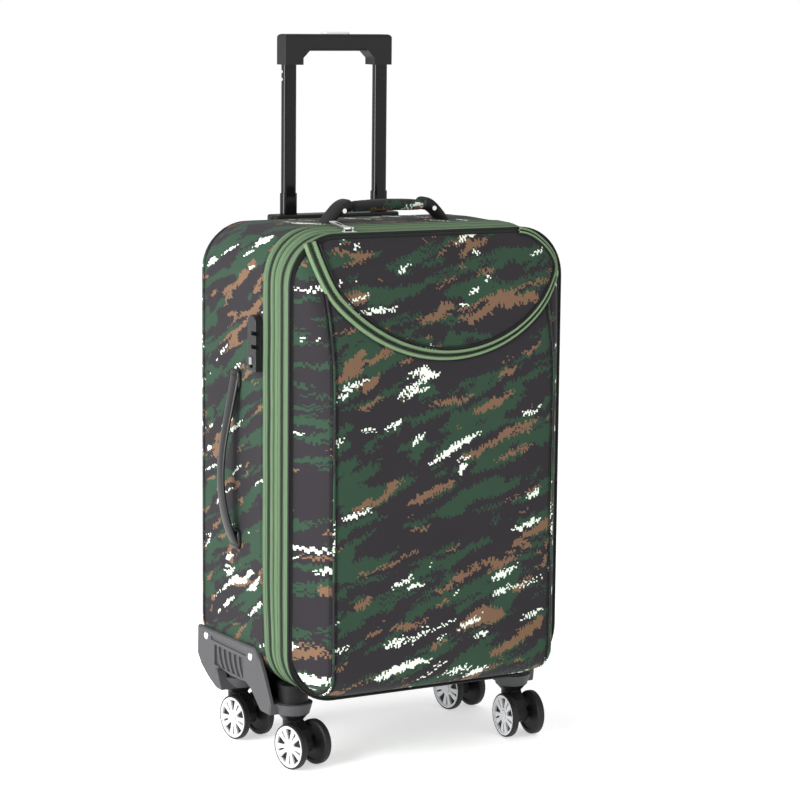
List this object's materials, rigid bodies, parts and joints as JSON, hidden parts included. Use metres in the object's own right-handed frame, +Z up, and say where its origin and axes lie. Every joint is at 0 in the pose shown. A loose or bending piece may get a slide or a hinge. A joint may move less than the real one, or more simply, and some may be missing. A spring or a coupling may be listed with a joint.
{
  "type": "rolling soft suitcase",
  "caption": "Soft-sided upright suitcase in camouflage fabric on twin-wheel swivel casters, with a zipped lid, front pocket and telescopic pull handle.",
  "frame": {"origin": "on the floor, under the middle of the whole suitcase", "axes": "+Z up, +Y towards the back with the pull handle, +X to the right seen from the lid side"},
  "size_m": [0.423, 0.32, 0.921],
  "materials": {
    "camo_fabric": "coated polyester with a printed camouflage pattern",
    "sage_tape": "woven zipper tape",
    "lining_fabric": "thin polyester lining",
    "black_piping": "vinyl covered piping cord",
    "board": "stiffening board",
    "black_plastic": "fine grained moulding",
    "black_rubber": "soft moulded rubber",
    "grey_plastic": "fine grained moulding",
    "black_tube": "gloss black aluminium tube",
    "chrome": "bright plated metal",
    "green_metal": "painted zipper slider",
    "button_grey": "smooth moulding",
    "steel": "bright steel",
    "fork_black": "glass filled nylon",
    "hub_white": "white moulded wheel cap",
    "tyre_black": "soft black tread"
  },
  "bodies": {
    "shell": {"side_band": "camo_fabric", "back_panel": "camo_fabric", "back_piping": "black_piping", "shell_frame": "board", "shell_lining": "lining_fabric", "expansion_zipper": "sage_tape", "outer_tubes": "black_tube", "tube_bracket": "black_plastic", "handle_bezel": "black_plastic", "top_handle_pad": "camo_fabric", "top_handle_ends": "black_plastic", "side_handle": "black_rubber", "lock_housing": "black_plastic", "guard_left": "grey_plastic", "guard_right": "grey_plastic", "rivets": "chrome", "side_feet": "black_rubber", "caster_pins": "steel"},
    "expander": {"expander_band": "sage_tape", "expander_gusset": "lining_fabric"},
    "lid": {"main_zipper": "sage_tape", "main_piping": "black_piping", "lid_panel": "board", "pocket_front": "camo_fabric", "pocket_gussets": "camo_fabric", "arc_zipper": "sage_tape"},
    "flap": {"pocket_flap": "camo_fabric", "arc_slider": "green_metal"},
    "middle_stage": {"mid_tubes": "black_tube"},
    "handle": {"inner_tubes": "black_tube", "grip": "black_plastic", "stop_pins": "chrome"},
    "button": {"release_button": "button_grey"},
    "slider": {"main_slider": "chrome"},
    "pull": {"main_pull": "chrome"},
    "latch": {"lock_latch": "chrome"},
    "front_left_caster": {"front_left_fork": "fork_black", "front_left_axle": "steel"},
    "front_left_left_wheel": {"front_left_left_tyre": "tyre_black", "front_left_left_hub": "hub_white"},
    "front_left_right_wheel": {"front_left_right_tyre": "tyre_black", "front_left_right_hub": "hub_white"},
    "front_right_caster": {"front_right_fork": "fork_black", "front_right_axle": "steel"},
    "front_right_left_wheel": {"front_right_left_tyre": "tyre_black", "front_right_left_hub": "hub_white"},
    "front_right_right_wheel": {"front_right_right_tyre": "tyre_black", "front_right_right_hub": "hub_white"},
    "back_left_caster": {"back_left_fork": "fork_black", "back_left_axle": "steel"},
    "back_left_left_wheel": {"back_left_left_tyre": "tyre_black", "back_left_left_hub": "hub_white"},
    "back_left_right_wheel": {"back_left_right_tyre": "tyre_black", "back_left_right_hub": "hub_white"},
    "back_right_caster": {"back_right_fork": "fork_black", "back_right_axle": "steel"},
    "back_right_left_wheel": {"back_right_left_tyre": "tyre_black", "back_right_left_hub": "hub_white"},
    "back_right_right_wheel": {"back_right_right_tyre": "tyre_black", "back_right_right_hub": "hub_white"}
  },
  "joints": [
    {"name": "expander_slide", "type": "slide", "parent": "shell", "child": "expander", "axis": [0, -1, 0], "range_m": [0, 0.045]},
    {"name": "lid_hinge", "type": "hinge", "parent": "expander", "child": "lid", "pos_m": [0.2065, -0.088, 0.384], "axis": [0, 0, 1], "range_deg": [0, 160]},
    {"name": "flap_hinge", "type": "hinge", "parent": "lid", "child": "flap", "pos_m": [0.0105, -0.1155, 0.6665], "axis": [-1, 0, 0], "range_deg": [0, 100]},
    {"name": "middle_slide", "type": "slide", "parent": "shell", "child": "middle_stage", "axis": [0, 0, 1], "range_m": [-0.028, 0.12]},
    {"name": "grip_slide", "type": "slide", "parent": "middle_stage", "child": "handle", "axis": [0, 0, 1], "range_m": [-0.167, 0]},
    {"name": "button_press", "type": "slide", "parent": "handle", "child": "button", "axis": [0, 0, -1], "range_m": [0, 0.003], "stiffness_N_per_m": 400, "springref_m": -0.002},
    {"name": "slider_travel", "type": "slide", "parent": "expander", "child": "slider", "axis": [1, 0, 0], "range_m": [-0.017, 0.2]},
    {"name": "pull_swing", "type": "hinge", "parent": "slider", "child": "pull", "pos_m": [-0.0905, -0.081, 0.6815], "axis": [1, 0, 0], "range_deg": [0, 140]},
    {"name": "latch_slide", "type": "slide", "parent": "shell", "child": "latch", "axis": [0, 0, -1], "range_m": [0, 0.0035], "stiffness_N_per_m": 300, "springref_m": -0.002},
    {"name": "front_left_swivel", "type": "hinge", "parent": "shell", "child": "front_left_caster", "pos_m": [-0.1525, -0.061, 0.06], "axis": [0, 0, 1], "continuous": true},
    {"name": "front_left_left_roll", "type": "hinge", "parent": "front_left_caster", "child": "front_left_left_wheel", "pos_m": [-0.14834, -0.08056, 0.029], "axis": [0.9781, 0.2079, 0], "continuous": true},
    {"name": "front_left_right_roll", "type": "hinge", "parent": "front_left_caster", "child": "front_left_right_wheel", "pos_m": [-0.14834, -0.08056, 0.029], "axis": [0.9781, 0.2079, 0], "continuous": true},
    {"name": "front_right_swivel", "type": "hinge", "parent": "shell", "child": "front_right_caster", "pos_m": [0.1735, -0.061, 0.06], "axis": [0, 0, 1], "continuous": true},
    {"name": "front_right_left_roll", "type": "hinge", "parent": "front_right_caster", "child": "front_right_left_wheel", "pos_m": [0.1728, -0.08099, 0.029], "axis": [0.9994, -0.0349, 0], "continuous": true},
    {"name": "front_right_right_roll", "type": "hinge", "parent": "front_right_caster", "child": "front_right_right_wheel", "pos_m": [0.1728, -0.08099, 0.029], "axis": [0.9994, -0.0349, 0], "continuous": true},
    {"name": "back_left_swivel", "type": "hinge", "parent": "shell", "child": "back_left_caster", "pos_m": [-0.1525, 0.0983, 0.06], "axis": [0, 0, 1], "continuous": true},
    {"name": "back_left_left_roll", "type": "hinge", "parent": "back_left_caster", "child": "back_left_left_wheel", "pos_m": [-0.14903, 0.0786, 0.029], "axis": [0.9848, 0.1736, 0], "continuous": true},
    {"name": "back_left_right_roll", "type": "hinge", "parent": "back_left_caster", "child": "back_left_right_wheel", "pos_m": [-0.14903, 0.0786, 0.029], "axis": [0.9848, 0.1736, 0], "continuous": true},
    {"name": "back_right_swivel", "type": "hinge", "parent": "shell", "child": "back_right_caster", "pos_m": [0.1735, 0.0983, 0.06], "axis": [0, 0, 1], "continuous": true},
    {"name": "back_right_left_roll", "type": "hinge", "parent": "back_right_caster", "child": "back_right_left_wheel", "pos_m": [0.17628, 0.07849, 0.029], "axis": [0.9903, 0.1392, 0], "continuous": true},
    {"name": "back_right_right_roll", "type": "hinge", "parent": "back_right_caster", "child": "back_right_right_wheel", "pos_m": [0.17628, 0.07849, 0.029], "axis": [0.9903, 0.1392, 0], "continuous": true}
  ]
}
